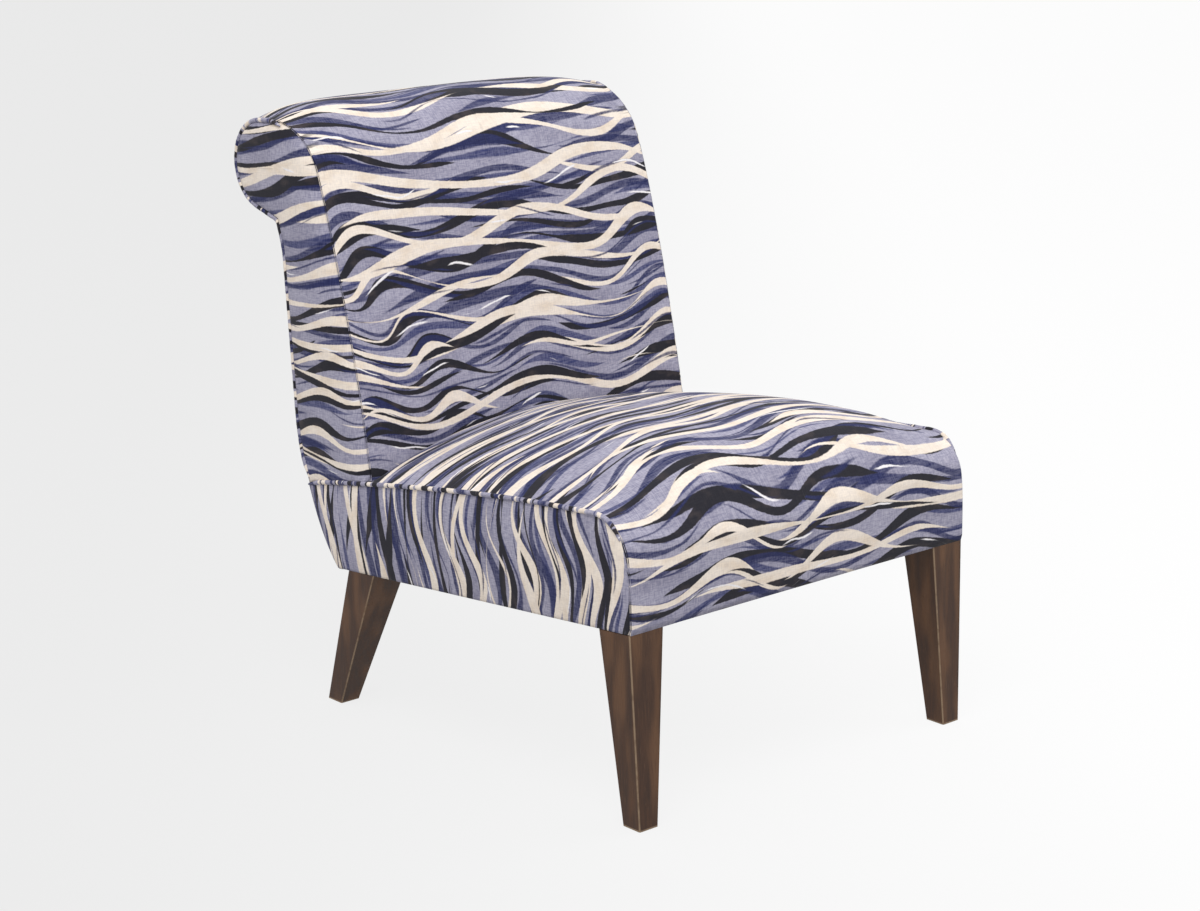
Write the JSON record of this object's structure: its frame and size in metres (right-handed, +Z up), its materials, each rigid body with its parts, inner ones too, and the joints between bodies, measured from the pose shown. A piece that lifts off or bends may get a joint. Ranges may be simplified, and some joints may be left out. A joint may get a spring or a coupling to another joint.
{
  "type": "slipper chair",
  "caption": "Armless upholstered slipper chair with a domed seat, a reclined rolled-back backrest, welted side panels and square tapered wooden legs",
  "frame": {"origin": "on the floor, under the middle of the chair's bounding box", "axes": "+Z up, -Y towards the front of the chair where the sitter's legs hang, +X towards the right as seen from in front"},
  "size_m": [0.605, 0.8374, 0.8122],
  "materials": {
    "cover_fabric": "printed linen weave, matt",
    "welt_fabric": "the same cloth cut on the bias over cord",
    "foam": "polyurethane foam under polyester wadding",
    "frame_wood": "planed softwood and plywood, bare",
    "leg_wood": "dark espresso stain, satin lacquer",
    "spring_steel": "bare drawn wire, lightly oiled",
    "zinc_steel": "zinc plated",
    "webbing": "woven elastic webbing",
    "fibreboard": "bent thin fibreboard",
    "burlap": "coarse jute burlap",
    "cambric": "black nonwoven dust cloth"
  },
  "bodies": {
    "root": {"leg_front_left": "leg_wood", "leg_front_right": "leg_wood", "leg_rear_left": "leg_wood", "leg_rear_right": "leg_wood", "leg_plate_front_left": "zinc_steel", "leg_plate_front_right": "zinc_steel", "leg_plate_rear_left": "zinc_steel", "leg_plate_rear_right": "zinc_steel", "hanger_bolt_front_left": "zinc_steel", "hanger_bolt_front_right": "zinc_steel", "hanger_bolt_rear_left": "zinc_steel", "hanger_bolt_rear_right": "zinc_steel", "corner_block_front_left": "frame_wood", "corner_block_front_right": "frame_wood", "corner_block_rear_left": "frame_wood", "corner_block_rear_right": "frame_wood", "front_rail": "frame_wood", "rear_rail": "frame_wood", "side_rail_left": "frame_wood", "side_rail_right": "frame_wood", "back_post_left": "frame_wood", "back_post_right": "frame_wood", "back_lower_rail": "frame_wood", "back_neck_rail": "frame_wood", "back_top_rail": "frame_wood", "roll_panel": "fibreboard", "back_strap_1": "webbing", "back_strap_2": "webbing", "back_strap_3": "webbing", "seat_spring_1": "spring_steel", "seat_spring_2": "spring_steel", "seat_spring_3": "spring_steel", "seat_spring_4": "spring_steel", "seat_spring_5": "spring_steel", "spring_tie_wire": "spring_steel", "spring_clip_front_1": "zinc_steel", "spring_clip_front_2": "zinc_steel", "spring_clip_front_3": "zinc_steel", "spring_clip_front_4": "zinc_steel", "spring_clip_front_5": "zinc_steel", "spring_clip_rear_1": "zinc_steel", "spring_clip_rear_2": "zinc_steel", "spring_clip_rear_3": "zinc_steel", "spring_clip_rear_4": "zinc_steel", "spring_clip_rear_5": "zinc_steel", "spring_insulator": "burlap", "seat_foam": "foam", "back_foam": "foam", "seat_cover": "cover_fabric", "inside_back_cover": "cover_fabric", "outside_back_cover": "cover_fabric", "seat_side_panel_left": "cover_fabric", "seat_side_panel_right": "cover_fabric", "back_side_panel_left": "cover_fabric", "back_side_panel_right": "cover_fabric", "seat_welt_left": "welt_fabric", "seat_welt_right": "welt_fabric", "back_welt_left": "welt_fabric", "back_welt_right": "welt_fabric", "dust_cover": "cambric"}
  },
  "joints": []
}
